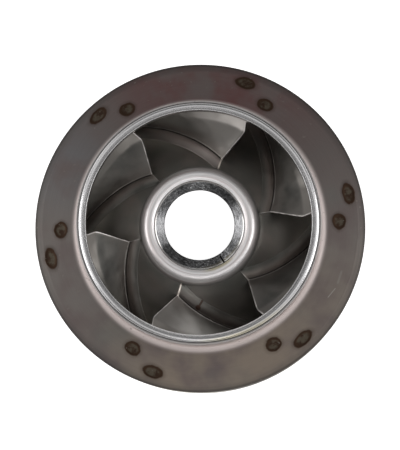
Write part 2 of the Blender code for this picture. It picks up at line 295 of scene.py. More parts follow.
def turned_mesh(name, profile, steps):
    """Turn a closed profile, listed down its outer side first, about the shaft's axis."""
    mesh = bpy.data.meshes.new(name)
    builder = bmesh.new()
    rings = []
    for step in range(steps):
        angle = tau * step / steps
        rings.append([builder.verts.new(around(angle, *point) * MM) for point in profile])
    for one, two in zip(rings, rings[1:] + rings[:1]):
        for index in range(len(profile)):
            below = (index + 1) % len(profile)
            face = builder.faces.new((one[index], one[below], two[below], two[index]))
            face.smooth = True
    builder.to_mesh(mesh)
    builder.free()
    mesh.set_sharp_from_angle(angle=SMOOTH_LIMIT)
    return mesh


def cone_face(offset):
    """The face of the cone between its two fillets, moved into the sheet by an offset."""
    turn = 90 - degrees(CONE_SLOPE)
    top_centre = LIP_OUTER_RADIUS + CONE_TOP_FILLET
    top = arc(top_centre, LIP_CENTRE_Z, CONE_TOP_FILLET + offset, 180, 180 + turn)
    start_radius = top_centre - CONE_TOP_FILLET * cos(radians(turn))
    start_z = LIP_CENTRE_Z - CONE_TOP_FILLET * sin(radians(turn))
    meeting_radius = start_radius + (start_z - BACK_TOP_Z) / tan(CONE_SLOPE)
    foot_centre = meeting_radius + CONE_FOOT_FILLET * tan(CONE_SLOPE / 2)
    centre_z = BACK_TOP_Z + CONE_FOOT_FILLET
    foot = arc(foot_centre, centre_z, CONE_FOOT_FILLET + offset, 180 + turn, 270)
    return top + foot


def lip_crest():
    """The lip's bright crest, from the bush out to where the shoulder starts."""
    mouth = BUSH_NOSE_RADIUS + LIP_FIT_GAP
    mouth_turn = degrees(acos((mouth - LIP_CREST_RADIUS) / LIP_ROUND))
    return arc(LIP_CREST_RADIUS, LIP_TOP_Z - LIP_ROUND, LIP_ROUND, mouth_turn, LIP_CREST_END)


def lip_shoulder():
    """The lip's outer shoulder, which runs on from the crest with a larger radius."""
    start = lip_crest()[-1]
    turn = radians(LIP_CREST_END)
    centre = (start[0] - LIP_SHOULDER_ROUND * cos(turn), start[1] - LIP_SHOULDER_ROUND * sin(turn))
    return arc(*centre, LIP_SHOULDER_ROUND, LIP_CREST_END, LIP_SHOULDER_END)


def back_upper_face():
    """The wetted face of the back shroud, from the lip's shoulder to the rim."""
    start = Vector(lip_shoulder()[-1])
    turn = radians(LIP_SHOULDER_END)
    down = Vector((sin(turn), -cos(turn)))
    out = Vector((cos(CONE_SLOPE), -sin(CONE_SLOPE)))
    cone = [Vector(point) for point in cone_face(0.0)]
    top = cone[CURVE_PIECES]
    reach = (top - start).cross(out) / down.cross(out)
    corner = start + down * reach
    fillet = rounded(corner, start, corner + out, LIP_FLANK_FILLET, CURVE_PIECES)
    face = [start] + fillet + cone[CURVE_PIECES + 1:]
    return [tuple(point) for point in face] + [(RIM_RADIUS, BACK_TOP_Z)]


def front_upper_face():
    """The outer face of the front shroud, from the neck's fillet to the bend near the rim."""
    fillet = arc(FILLET_FOOT_RADIUS, FILLET_CENTRE_Z, FILLET_RADIUS, 180, 270)
    bend = rounded((RIM_BEND_RADIUS, RIM_BEND_Z), fillet[-1], (RIM_RADIUS, RIM_TOP_Z), RIM_BEND_ROUND)
    bend = [tuple(point) for point in bend]
    return fillet + run(fillet[-1], bend[0], FACE_SPACING) + bend


def front_lower_face():
    """The wetted face of the front shroud, from the seat in the neck to the rim."""
    fillet = arc(FILLET_FOOT_RADIUS, FILLET_CENTRE_Z, FILLET_RADIUS + SHEET, 180, 270)
    bend = [(RIM_BEND_RADIUS, RIM_BEND_Z - SHEET), (RIM_RADIUS, RIM_TOP_Z - SHEET)]
    return [(NECK_INNER_RADIUS, SEAT_Z)] + fillet + bend


def weld_height(point):
    """How far the front shroud's face is pressed in, or raised around the mark, at a weld (mm)."""
    radius = hypot(point.x, point.y) / MM
    height = 0.0
    for weld in (OUTER_WELD, INNER_WELD):
        turn = atan2(point.y, point.x) - weld["angle"] + WELD_TURN / 2
        turn = turn % WELD_TURN - WELD_TURN / 2
        reach = hypot(
            turn * weld["radius"] / weld["half_length"], (radius - weld["radius"]) / weld["half_width"]
        )
        height -= WELD_DIP * (1.0 - smooth(0.55, 0.95, reach))
        height += WELD_RIDGE * smooth(0.75, 1.0, reach) * (1.0 - smooth(1.0, 1.25, reach))
    return height


def make_front_shroud(material):
    """Neck, fillet and disc, pressed from one sheet, with the welds' shallow marks."""
    upper = [(NECK_RADIUS, NECK_TOP_Z, NECK_EDGE)] + plain(front_upper_face())
    rim = [(RIM_RADIUS, RIM_TOP_Z, RIM_EDGE), (RIM_RADIUS, RIM_TOP_Z - SHEET, RIM_EDGE)]
    lower = plain(list(reversed(front_lower_face()))[1:])
    seat = [(SEAT_RADIUS, SEAT_Z, 0.0), (SEAT_RADIUS, NECK_TOP_Z, NECK_EDGE / 2)]
    profile = rounded_profile(upper + rim + lower + seat)
    mesh = turned_mesh("front_shroud_sheet", profile, SHROUD_STEPS)
    upper_points = ROUND_PIECES + len(upper)
    for index, vertex in enumerate(mesh.vertices):
        if index % len(profile) < upper_points:
            vertex.co.z += weld_height(vertex.co) * MM
    show("front_shroud_sheet", mesh, material, "tinted_sheet", "front_shroud")


def make_back_shroud(material):
    """Rim, cone and rolled lip, pressed from one sheet."""
    mouth = BUSH_NOSE_RADIUS + LIP_FIT_GAP
    face = lip_crest() + lip_shoulder()[1:] + back_upper_face()[1:-1]
    upper = plain([(mouth, LIP_CENTRE_Z)] + face)
    rim = [(RIM_RADIUS, BACK_TOP_Z, RIM_EDGE), (RIM_RADIUS, BACK_TOP_Z - SHEET, RIM_EDGE)]
    lower = plain(list(reversed(cone_face(SHEET))))
    inner_roll = plain(arc(LIP_CENTRE_RADIUS, LIP_CENTRE_Z - SHEET, LIP_ROLL - SHEET, 0, 180)[1:])
    tail = plain([(LIP_INNER_RADIUS + SHEET, LIP_TAIL_Z), (LIP_INNER_RADIUS, LIP_TAIL_Z)])
    profile = rounded_profile(upper + rim + lower + inner_roll + tail)
    mesh = turned_mesh("back_shroud_sheet", profile, TURN_STEPS)
    show("back_shroud_sheet", mesh, material, "tinted_sheet", "back_shroud")


def make_neck_ring(material):
    """The turned ring in the neck: a crowned land, a hairline groove and a flare inside."""
    groove_inner = RING_GROOVE_RADIUS - RING_GROOVE_WIDTH / 2
    groove_outer = RING_GROOVE_RADIUS + RING_GROOVE_WIDTH / 2
    groove_floor = RING_TOP_Z - RING_GROOVE_DEPTH
    groove_edge = RING_EDGE / 4
    reach = degrees(asin((RING_OUTER_RADIUS - LAND_CREST_RADIUS) / LAND_ROUND))
    land = arc(LAND_CREST_RADIUS, RING_TOP_Z - LAND_ROUND, LAND_ROUND, 94, 90 - reach)
    mesh = turned_mesh("neck_ring_turned", rounded_profile(plain(land) + [
        (RING_OUTER_RADIUS, RING_BOTTOM_Z, 0.0),
        (RING_FLARE_RADIUS, RING_BOTTOM_Z, 0.0),
        (RING_INNER_RADIUS, RING_FLARE_TOP_Z, RING_EDGE),
        (RING_INNER_RADIUS, RING_INNER_LAND_Z, 2 * RING_EDGE),
        (groove_inner, RING_INNER_LAND_Z, groove_edge),
        (groove_inner, groove_floor, 0.0),
        (groove_outer, groove_floor, 0.0),
    ]), TURN_STEPS)
    show("neck_ring_turned", mesh, material, "turned_ring", "neck_ring")


def turning_marks(inner, outer, z):
    """The fine grooves that a turning tool leaves on a flat face, from a radius out to another."""
    width = outer - inner
    halves = 2 * round(width / MARK_PITCH)
    depth = width / halves * tan(MARK_SLOPE)
    return [(inner + width * step / halves, z - depth * (step % 2), 0.0) for step in range(halves + 1)]


def make_hub_bush(material):
    """The turned bush, with its taper bore and the slit across its front face."""
    rear_bore = BORE_RADIUS + BUSH_FACE_Z * tan(BORE_HALF_ANGLE)
    face = turning_marks(BORE_RADIUS + BUSH_EDGE, BUSH_FACE_RADIUS, BUSH_FACE_Z)
    corners = [
        (BUSH_NOSE_RADIUS, BUSH_FACE_Z - BUSH_CHAMFER_DROP, BUSH_EDGE),
        (BUSH_NOSE_RADIUS, BUSH_SHOULDER_Z, 0.0),
        (BUSH_BODY_RADIUS, BUSH_SHOULDER_Z, BUSH_EDGE),
        (BUSH_BODY_RADIUS, 0.0, BUSH_EDGE),
        (rear_bore, 0.0, 0.0),
        (BORE_RADIUS, BUSH_FACE_Z - BUSH_EDGE, 0.0),
    ]
    mesh = turned_mesh("hub_bush_turned", rounded_profile(corners + face), TURN_STEPS)
    bush = show("hub_bush_turned", mesh, material, "turned_bush", "hub_bush")
    cut_slit(bush)


def cut_slit(bush):
    """Saw the slit into the front face and apply the cut, so that no cutter is left."""
    length = BUSH_NOSE_RADIUS + 1.0 - SLIT_INNER_RADIUS
    middle = Vector((SLIT_INNER_RADIUS + length / 2, 0.0, BUSH_FACE_Z)) * MM
    bpy.ops.mesh.primitive_cube_add(
        size=MM,
        location=Matrix.Rotation(SLIT_ANGLE, 3, "Z") @ middle,
        rotation=(0.0, 0.0, SLIT_ANGLE),
        scale=(length, SLIT_WIDTH, 2 * SLIT_DEPTH),
    )
    saw = bpy.context.active_object
    cut = bush.modifiers.new("Slit", "BOOLEAN")
    cut.operation = "DIFFERENCE"
    cut.solver = "EXACT"
    cut.object = saw
    graph = bpy.context.evaluated_depsgraph_get()
    finished = bpy.data.meshes.new_from_object(bush.evaluated_get(graph))
    bush.modifiers.clear()
    bush.data = finished
    bpy.data.objects.remove(saw, do_unlink=True)


class Wall:
    """A wetted face in half section, set off towards the passage, and measured along its length."""

    def __init__(self, outline, side):
        standoff = VANE_GAP + VANE_SHEET / 2
        self.points = []
        self.lengths = [0.0]
        spans = list(zip(outline, outline[1:]))
        total = sum(dist(start, end) for start, end in spans)
        for start, end in spans:
            run_length = dist(start, end)
            normal = (-(end[1] - start[1]) / run_length * side, (end[0] - start[0]) / run_length * side)
            pieces = max(1, round(WALL_SAMPLES * run_length / total))
            for step in range(pieces + 1):
                radius, z = between(start, end, step / pieces)
                self.points.append((radius + normal[0] * standoff, z + normal[1] * standoff))
        for start, end in zip(self.points, self.points[1:]):
            self.lengths.append(self.lengths[-1] + dist(start, end))

    def at(self, distance):
        """The point (r, z) at a distance along the wall."""
        bounded = min(max(distance, 0.0), self.lengths[-1])
        index = bisect_left(self.lengths, bounded, 1) - 1
        span = self.lengths[index + 1] - self.lengths[index]
        share = (bounded - self.lengths[index]) / span if span else 0.0
        return between(self.points[index], self.points[index + 1], share)

    def distance_to(self, radius):
        """The distance along the wall where it passes a radius on its way out."""
        for index, (start, end) in enumerate(zip(self.points, self.points[1:])):
            if start[0] < radius <= end[0]:
                share = (radius - start[0]) / (end[0] - start[0])
                return self.lengths[index] + share * (self.lengths[index + 1] - self.lengths[index])
        return 0.0 if radius < self.points[0][0] else self.lengths[-1]


def blade_angle(blade_angles, share):
    """The blade angle at a share of the vane's length, between the three that are given."""
    first = 0 if share < BLADE_SHARES[1] else 1
    span = BLADE_SHARES[first + 1] - BLADE_SHARES[first]
    part = (share - BLADE_SHARES[first]) / span
    return blade_angles[first] + (blade_angles[first + 1] - blade_angles[first]) * part


def vane_fold(wall, start, end, start_angle, blade_angles):
    """Stations (distance, angle, blade angle) along the fold that a vane draws on a wall."""
    stations = []
    angle = start_angle
    steps = VANE_STATIONS * FINE_STEPS
    stride = (end - start) / steps
    for step in range(steps + 1):
        blade = blade_angle(blade_angles, step / steps)
        distance = start + stride * step
        if step % FINE_STEPS == 0:
            stations.append((distance, angle, blade))
        radius = wall.at(distance + stride / 2)[0]
        angle += stride / (radius * tan(blade))
    return stations


def on_wall(wall, distance, angle):
    """A point in space on a wall, in millimetres, at a distance along it and an angle about the axis."""
    return around(angle, *wall.at(distance))


def smooth(low, high, value):
    """Rise gently from 0 at low to 1 at high."""
    share = min(max((value - low) / (high - low), 0.0), 1.0)
    return share * share * (3.0 - 2.0 * share)


def kink_point(low, high, share):
    """The point where the web kinks, which falls back to the straight line along the vane."""
    depth = max(0.0, 1.0 - share / KINK_END)
    point = low.lerp(high, KINK_PLACE)
    turned_point = Matrix.Rotation(KINK_TURN * depth, 4, "Z") @ point
    return turned_point + Vector((0.0, 0.0, KINK_RISE * depth))


def straight(start, end, pieces):
    """Points from a start up to, but not including, an end."""
    return [start.lerp(end, step / pieces) for step in range(pieces)]


def soften(points, middle, reach, passes):
    """Round the corner that a row of points turns at its middle one."""
    for _ in range(passes):
        before = [point.copy() for point in points]
        for index in range(middle - reach, middle + reach + 1):
            points[index] = before[index] * 0.5 + (before[index - 1] + before[index + 1]) * 0.25
    return points


def foot_size(share, wall, fold):
    """How far the foot flange reaches along the cone and about the axis, from its fold."""
    front = max(0.0, 1.0 - share / FOOT_FRONT_SHARE)
    width = FOOT_WIDTH + FOOT_FRONT_EXTRA * front * front
    reach = width * cos(fold[2] * (1.0 - front))
    turn = width * sin(fold[2]) / wall.at(fold[0])[0] * (1.0 - front)
    return -reach, turn


def top_size(share, wall, fold):
    """How far the top flange reaches under the front shroud, from its fold to short of the rim."""
    growth = smooth(TOP_FLANGE_START, TOP_FLANGE_FULL, share)
    width = TOP_FLANGE_FIRST_WIDTH + (TOP_FLANGE_WIDTH - TOP_FLANGE_FIRST_WIDTH) * growth
    reach = min(width * cos(fold[2]), wall.distance_to(TRAILING_RADIUS) - fold[0])
    turn = reach * tan(fold[2]) / wall.at(fold[0])[0]
    return reach, -turn


def flange(wall, fold, size, parts):
    """Points on a wall, at parts of a flange's width from its fold."""
    return [on_wall(wall, fold[0] + size[0] * part, fold[1] + size[1] * part) for part in parts]


def flange_parts(wall, fold, size, bend_end, rows):
    """The parts of a flange's width where its rows lie, from the bend's end to the free edge."""
    corner, edge = flange(wall, fold, size, (0.0, 1.0))
    first = (bend_end - corner).length / (edge - corner).length
    return [first + (1.0 - first) * step / rows for step in range(1, rows + 1)]


def foot_ease(column):
    """How near a column lies to the foot flange's free edge, 1 at the edge."""
    return 1.0 - smooth(0.0, 0.8, column / FOOT_ROWS)


def vane_section(share, hub_wall, hub, shroud_wall, shroud):
    """One row of points across a vane: foot flange, bend, web, bend and top flange."""
    foot = foot_size(share, hub_wall, hub)
    low, foot_way = flange(hub_wall, hub, foot, (0.0, WAY_PART))
    high = on_wall(shroud_wall, shroud[0], shroud[1])
    kink = kink_point(low, high, share)
    foot_bend = rounded(low, foot_way, kink, FOOT_BEND_RADIUS, BEND_ROWS)
    foot_parts = flange_parts(hub_wall, hub, foot, foot_bend[0], FOOT_ROWS)
    row = flange(hub_wall, hub, foot, reversed(foot_parts))
    for column, point in enumerate(row):
        point.z -= FOOT_EDGE_DROP * foot_ease(column)
    row += foot_bend[:-1]
    row += straight(foot_bend[-1], kink, LOWER_WEB_ROWS)
    kink_column = len(row)
    if share < TOP_FLANGE_START:
        row += straight(kink, high, UPPER_WEB_ROWS + BEND_ROWS) + [high]
        return soften(row, kink_column, KINK_SOFT_ROWS, KINK_SOFT_PASSES)
    top = top_size(share, shroud_wall, shroud)
    top_way = flange(shroud_wall, shroud, top, (WAY_PART,))[0]
    top_bend = rounded(high, kink, top_way, TOP_BEND_RADIUS, BEND_ROWS)
    top_parts = flange_parts(shroud_wall, shroud, top, top_bend[-1], TOP_ROWS)
    row += straight(kink, top_bend[0], UPPER_WEB_ROWS) + top_bend
    return row + flange(shroud_wall, shroud, top, top_parts)


def vane_mesh():
    """The bent sheet of one vane, as an open surface through the middle of its thickness.

    Each point keeps its share of the vane's length, and its way from the foot's fold in
    millimetres, which is below zero on the foot flange.
    """
    hub_wall = Wall(back_upper_face(), 1.0)
    shroud_wall = Wall(front_lower_face(), -1.0)
    hub_start = hub_wall.distance_to(HUB_FOLD_START_RADIUS)
    hub_end = hub_wall.distance_to(TRAILING_RADIUS)
    shroud_end = shroud_wall.distance_to(TRAILING_RADIUS) - TOP_FLANGE_END_WIDTH
    hub_fold = vane_fold(hub_wall, hub_start, hub_end, HUB_FOLD_START_ANGLE, HUB_BLADE_ANGLES)
    shroud_fold = vane_fold(
        shroud_wall, SHROUD_FOLD_START_DROP, shroud_end, SHROUD_FOLD_START_ANGLE, SHROUD_BLADE_ANGLES
    )
    builder = bmesh.new()
    names = ("along", "across", "thickness", "facet")
    along, across, thickness, facet = [builder.verts.layers.float.new(name) for name in names]
    kink_column = FOOT_ROWS + BEND_ROWS + LOWER_WEB_ROWS
    rows = []
    for index, (hub, shroud) in enumerate(zip(hub_fold, shroud_fold)):
        share = index / VANE_STATIONS
        low = on_wall(hub_wall, hub[0], hub[1])
        row = []
        for column, point in enumerate(vane_section(share, hub_wall, hub, shroud_wall, shroud)):
            vertex = builder.verts.new(point * MM)
            side = 1.0 if column > FOOT_ROWS + BEND_ROWS // 2 else -1.0
            vertex[along] = share
            vertex[across] = side * (point - low).length
            vertex[thickness] = 1.0 - FOOT_EDGE_THIN * foot_ease(column)
            vertex[facet] = max(0.0, 1.0 - share / KINK_END) * smooth(-1.0, 4.0, column - kink_column)
            row.append(vertex)
        rows.append(row)
    for row, following in zip(rows, rows[1:]):
        for index in range(min(len(row), len(following)) - 1):
            builder.faces.new((row[index], following[index], following[index + 1], row[index + 1]))
    bmesh.ops.recalc_face_normals(builder, faces=builder.faces)
    mesh = bpy.data.meshes.new("vane_sheet")
    builder.to_mesh(mesh)
    builder.free()
    mesh.shade_smooth()
    return mesh


def thickness_group(vane):
    """Make a vertex group of the thickness that the mesh keeps at its points, and give its name."""
    group = vane.vertex_groups.new(name="thickness")
    for index, value in enumerate(vane.data.attributes["thickness"].data):
        group.add([index], value.value, "REPLACE")
    return group.name


def make_vanes(material):
    """Six vanes, a sixth of a turn apart."""
    pattern = vane_mesh()
    for index in range(VANE_COUNT):
        mesh = pattern.copy()
        mesh.transform(Matrix.Rotation(tau * index / VANE_COUNT, 4, "Z"))
        vane = show(f"vane_sheet_{index + 1}", mesh, material, "vane_sheet", f"vane_{index + 1}")
        solidify = vane.modifiers.new("Thickness", "SOLIDIFY")
        solidify.thickness = VANE_SHEET * MM
        solidify.offset = 0.0
        solidify.vertex_group = thickness_group(vane)
        bevel = vane.modifiers.new("Edges", "BEVEL")
        bevel.width = EDGE_BEVEL * MM
        bevel.segments = 2
        bevel.limit_method = "ANGLE"
        bevel.angle_limit = EDGE_LIMIT
    bpy.data.meshes.remove(pattern)


def fill_ramp(ramp, stops):
    """Give a colour ramp its stops (place, colour)."""
    while len(ramp.elements) < len(stops):
        ramp.elements.new(0.5)
    for element, (place, colour) in zip(ramp.elements, stops):
        element.position = place
        element.color = (*colour, 1.0)


def set_range(item, low, high, start, end):
    """Make a Map Range node go from a start to an end as its value goes from low to high."""
    for name, number in (("From Min", low), ("From Max", high), ("To Min", start), ("To Max", end)):
        item.inputs[name].default_value = number


class Look:
    """A steel's nodes, with a short call for each kind; x, y, z and the radius are in millimetres."""

    def __init__(self, name):
        self.material = bpy.data.materials.new(name)
        self.material.use_nodes = True
        self.tree = self.material.node_tree
        self.shader = self.tree.nodes["Principled BSDF"]
        self.set("Metallic", 1.0)
        coordinates = self.node("ShaderNodeTexCoord").outputs
        self.place = coordinates["Object"]
        self.normal = coordinates["Normal"]
        self.x, self.y, self.z = [self.math("DIVIDE", part, MM) for part in self.split(self.place)]
        self.radius = self.hypot(self.x, self.y)
        self.angle = self.math("ARCTAN2", self.y, self.x)

    def node(self, kind, inputs=None, **settings):
        """Add a node, with the links or values of its inputs by their names or places."""
        item = self.tree.nodes.new(kind)
        for name, value in settings.items():
            setattr(item, name, value)
        for name, value in (inputs or {}).items():
            self.feed(item.inputs[name], value)
        return item

    def feed(self, socket, value):
        """Link a socket, or set its own value. A colour is three numbers."""
        if isinstance(value, bpy.types.NodeSocket):
            self.tree.links.new(value, socket)
        elif socket.type == "RGBA":
            socket.default_value = (*value, 1.0)
        else:
            socket.default_value = value

    def set(self, name, value):
        """Set or link one of the shader's sockets."""
        self.feed(self.shader.inputs[name], value)

    def math(self, operation, *values):
        """The result of an operation on numbers."""
        return self.node("ShaderNodeMath", dict(enumerate(values)), operation=operation).outputs[0]

    def times(self, first, *others):
        """The product of shares and numbers."""
        for other in others:
            first = self.math("MULTIPLY", first, other)
        return first

    def rest(self, share):
        """What a share leaves of one."""
        return self.math("SUBTRACT", 1.0, share)

    def apart(self, value, centre):
        """How far a number lies from another."""
        return self.math("ABSOLUTE", self.math("SUBTRACT", value, centre))

    def hypot(self, x, y):
        """The length of two numbers at a right angle."""
        return self.math("SQRT", self.math("ADD", self.times(x, x), self.times(y, y)))

    def join(self, x, y, z):
        """A vector from three numbers."""
        return self.node("ShaderNodeCombineXYZ", {"X": x, "Y": y, "Z": z}).outputs[0]

    def split(self, vector):
        """The three numbers of a vector."""
        return self.node("ShaderNodeSeparateXYZ", {"Vector": vector}).outputs

    def noise(self, scale, detail=2.0, roughness=0.5, vector=None):
        """Soft noise between 0 and 1, by place on the object or by a vector."""
        inputs = {"Vector": vector or self.place, "Scale": scale, "Detail": detail, "Roughness": roughness}
        return self.node("ShaderNodeTexNoise", inputs).outputs["Fac"]

    def lines(self, ring_scale, radial_scale, detail=3.0, roughness=0.6, top=None):
        """Noise drawn out in circles about the axis, as turned and brushed lines.

        With the height of a top face the lines go on down the walls below it.
        """
        across = self.radius
        if top is not None:
            across = self.math("ADD", across, self.math("SUBTRACT", self.z, top))
        x = self.times(self.math("COSINE", self.angle), ring_scale)
        y = self.times(self.math("SINE", self.angle), ring_scale)
        return self.noise(1.0, detail, roughness, self.join(x, y, self.times(across, radial_scale)))

    def kept(self, name):
        """A number that the mesh keeps at its points."""
        return self.node("ShaderNodeAttribute", attribute_name=name).outputs["Fac"]

    def rise(self, value, low, high, start=0.0, end=1.0):
        """Go smoothly from a start to an end as a value goes from low to high."""
        item = self.node("ShaderNodeMapRange", {"Value": value}, interpolation_type="SMOOTHSTEP")
        set_range(item, low, high, start, end)
        return item.outputs["Result"]

    def band(self, value, centre, half, soft):
        """A soft band around a centre."""
        return self.rise(self.apart(value, centre), half + soft, half)

    def off_sides(self):
        """The sine of the angle without its sign: 0 at the two sides, 1 at the front and the back."""
        return self.math("ABSOLUTE", self.math("SINE", self.angle))

    def mix(self, share, one, two):
        """Mix two colours."""
        item = self.node("ShaderNodeMix", {"Factor": share, "A": one, "B": two}, data_type="RGBA")
        return [socket for socket in item.outputs if socket.type == "RGBA"][0]

    def coats(self, colour, *coats):
        """Lay coats (share, colour) over a colour, one after another."""
        for share, coat in coats:
            colour = self.mix(share, colour, coat)
        return colour

    def ramp(self, value, stops):
        """A colour from a value and stops (place, colour)."""
        item = self.node("ShaderNodeValToRGB", {"Fac": value})
        fill_ramp(item.color_ramp, stops)
        return item.outputs["Color"]

    def bump(self, height, distance, strength, normal=None):
        """Turn a height into a normal."""
        inputs = {"Strength": strength, "Distance": distance * MM, "Height": height}
        if normal is not None:
            inputs["Normal"] = normal
        return self.node("ShaderNodeBump", inputs).outputs["Normal"]


def weld_reach(look, weld):
    """How far a place lies from the middle of the nearest such weld, 1 at the mark's edge."""
    shifted = look.math("ADD", look.angle, WELD_TURN / 2 - weld["angle"] + tau)
    turn = look.math("SUBTRACT", look.math("MODULO", shifted, WELD_TURN), WELD_TURN / 2)
    along = look.times(turn, weld["radius"] / weld["half_length"])
    away = look.math("SUBTRACT", look.radius, weld["radius"])
    across = look.math("DIVIDE", away, weld["half_width"])
    wobble = look.rise(look.noise(260.0, 3.0), 0.25, 0.75, -0.09, 0.09)
    return look.math("ADD", look.hypot(along, across), wobble)


def line_share(look, start, end, half, soft):
    """A soft straight line on the face, between two places, seen along the axis."""
    length = dist(start, end)
    way = ((end[0] - start[0]) / length, (end[1] - start[1]) / length)
    x = look.math("SUBTRACT", look.x, start[0])
    y = look.math("SUBTRACT", look.y, start[1])
    along = look.math("ADD", look.times(x, way[0]), look.times(y, way[1]))
    across = look.math("SUBTRACT", look.times(y, way[0]), look.times(x, way[1]))
    ends = look.band(along, length / 2, length / 2 - soft, 2 * soft)
    return look.times(look.band(across, 0.0, half, soft), ends)


def heat_tint(look):
    """Heat tints about the axis, plum at the back and beige in front, with clouds and a darker rim."""
    plum = (0.145, 0.077, 0.075)
    umber = (0.145, 0.125, 0.118)
    neutral = (0.175, 0.157, 0.146)
    slate = (0.158, 0.154, 0.157)
    beige = (0.235, 0.195, 0.16)
    turn_share = look.math("FRACT", look.math("DIVIDE", look.angle, tau))
    tint = look.ramp(turn_share, (
        (0.0, neutral), (0.09, umber), (0.2, plum), (0.29, plum), (0.36, umber), (0.43, slate),
        (0.5, neutral), (0.6, neutral), (0.72, beige), (0.84, beige), (1.0, neutral),
    ))
    return look.coats(
        tint,
        (look.rise(look.noise(55.0, 3.0, 0.55), 0.35, 0.7), (0.15, 0.123, 0.117)),
        (look.rise(look.noise(38.0), 0.55, 0.8, 0.0, 0.35), (0.13, 0.14, 0.13)),
        (look.rise(look.radius, RIM_RADIUS - 4.0, RIM_RADIUS - 1.6, 0.0, 0.33), (0.06, 0.057, 0.054)),
        (look.rise(look.radius, RIM_RADIUS - 1.5, RIM_RADIUS - 0.5, 0.0, 0.6), (0.05, 0.047, 0.044)),
    )


def weld_marks(look, tint):
    """Brown halos and blotched middles over a tint, at every weld."""
    halo = (0.045, 0.027, 0.018)
    blotch = look.rise(look.noise(420.0, 3.0, 0.6), 0.38, 0.6)
    inside = look.mix(blotch, (0.045, 0.028, 0.02), (0.088, 0.073, 0.055))
    for weld in (OUTER_WELD, INNER_WELD):
        reach = weld_reach(look, weld)
        tint = look.coats(
            tint,
            (look.rise(reach, 1.6, 1.0, 0.0, 0.35), halo),
            (look.rise(reach, 1.16, 0.96), halo),
            (look.rise(reach, 0.84, 0.52), inside),
        )
    return tint


def tinted_sheet():
    """The front shroud's pressed sheet: heat tints, a rubbed neck, weld marks, scratches and specks."""
    look = Look("tinted_sheet")
    rubbed = look.rise(look.radius, FILLET_FOOT_RADIUS + 0.6, FILLET_FOOT_RADIUS - 1.6)
    on_neck = look.rise(look.z, FILLET_CENTRE_Z - 0.4, FILLET_CENTRE_Z + 0.8, 0.0, 0.85)
    turns = look.noise(1.0, 3.0, 0.6, look.join(0.0, 0.0, look.times(look.z, 3.0)))
    wall = look.mix(look.rise(turns, 0.3, 0.7), (0.36, 0.345, 0.335), (0.54, 0.52, 0.51))
    bare = look.coats(heat_tint(look), (rubbed, (0.55, 0.485, 0.465)), (look.times(on_neck, rubbed), wall))
    speck = look.rise(look.noise(700.0, 1.0, 0.3), 0.74, 0.78, 0.0, 0.5)
    look.set("Base Color", look.coats(
        weld_marks(look, bare),
        (look.times(line_share(look, *SCRATCH, 0.08, 0.22), 0.45), (0.42, 0.4, 0.37)),
        (look.times(line_share(look, *RUB, 0.1, 0.6), 0.2), (0.36, 0.35, 0.32)),
        (speck, (0.2, 0.18, 0.16)),
    ))
    lines = look.lines(3.0, 2.2)
    rough = look.math("ADD", look.rise(lines, 0.3, 0.7, 0.42, 0.52), look.times(rubbed, 0.08))
    look.set("Roughness", look.math("SUBTRACT", rough, look.times(on_neck, 0.2)))
    fine = look.noise(1500.0, 2.0, 0.6)
    look.set("Normal", look.bump(fine, 0.02, 0.35, look.bump(lines, 0.03, 0.4)))
    return look.material


def painted_shade_patch(look, middle):
    """How far a place lies in a patch of painted shade about an angle, 1 in its middle."""
    return look.band(look.angle, middle, PATCH_HALF, PATCH_SOFT)


def cone_tone(look):
    """The cone's grey steel, with painted light that makes it paler out towards the rim, but not in the
    two patches of painted shade, of which the front one is also painted darker.
    """
    front = painted_shade_patch(look, FRONT_PATCH)
    dark = look.math("MAXIMUM", painted_shade_patch(look, BACK_PATCH), front)
    pale = look.rest(look.times(dark, PATCH_SHARE))
    return look.coats(
        (0.175, 0.175, 0.16),
        (look.rise(look.noise(70.0, 3.0, 0.55), 0.3, 0.7), (0.24, 0.22, 0.2)),
        # Painted shade in the front patch.
        (look.times(front, 0.5), (0.06, 0.06, 0.053)),
        # Painted light, paler out towards the rim, outside the patches.
        (look.times(pale, look.rise(look.radius, 30.0, 38.0, 0.0, 0.7)), (0.42, 0.42, 0.39)),
        (look.times(pale, look.rise(look.radius, 37.0, 45.0, 0.0, 0.8)), (0.85, 0.82, 0.76)),
    )


def lip_tone(look):
    """The lip's bright rings, with a smear of oil beside the bush's slit."""
    rings = look.rise(look.lines(0.8, 2.6), 0.36, 0.6)
    away = look.apart(look.angle, SLIT_ANGLE - 0.12)
    oil = look.times(look.rise(away, 0.45, 0.15), look.rise(look.radius, 20.6, 19.6, 0.0, 0.8))
    return look.coats((0.8, 0.735, 0.725), (rings, (0.96, 0.94, 0.935)), (oil, (0.55, 0.5, 0.33)))


def hub_sheet():
    """The back shroud: a bright lip, a greyer cone and a plain rear."""
    look = Look("hub_sheet")
    on_lip = look.times(look.rise(look.radius, 26.0, 24.0), look.rise(look.z, 26.5, 28.0))
    rear = look.rise(look.split(look.normal)["Z"], -0.05, -0.3)
    cloud = look.rise(look.noise(55.0, 3.0, 0.55), 0.35, 0.7)
    plain_rear = look.mix(cloud, (0.19, 0.168, 0.155), (0.15, 0.13, 0.12))
    look.set("Base Color", look.coats(cone_tone(look), (on_lip, lip_tone(look)), (rear, plain_rear)))
    lines = look.lines(2.0, 3.0)
    duller = look.times(look.math("MAXIMUM", on_lip, rear), 0.08)
    rough = look.math("ADD", look.rise(lines, 0.3, 0.7, 0.3, 0.38), duller)
    flank = look.band(look.radius, 24.9, 0.6, 0.9)
    look.set("Roughness", look.math("ADD", rough, look.times(flank, 0.15)))
    look.set("Normal", look.bump(lines, 0.03, 0.35))
    return look.material


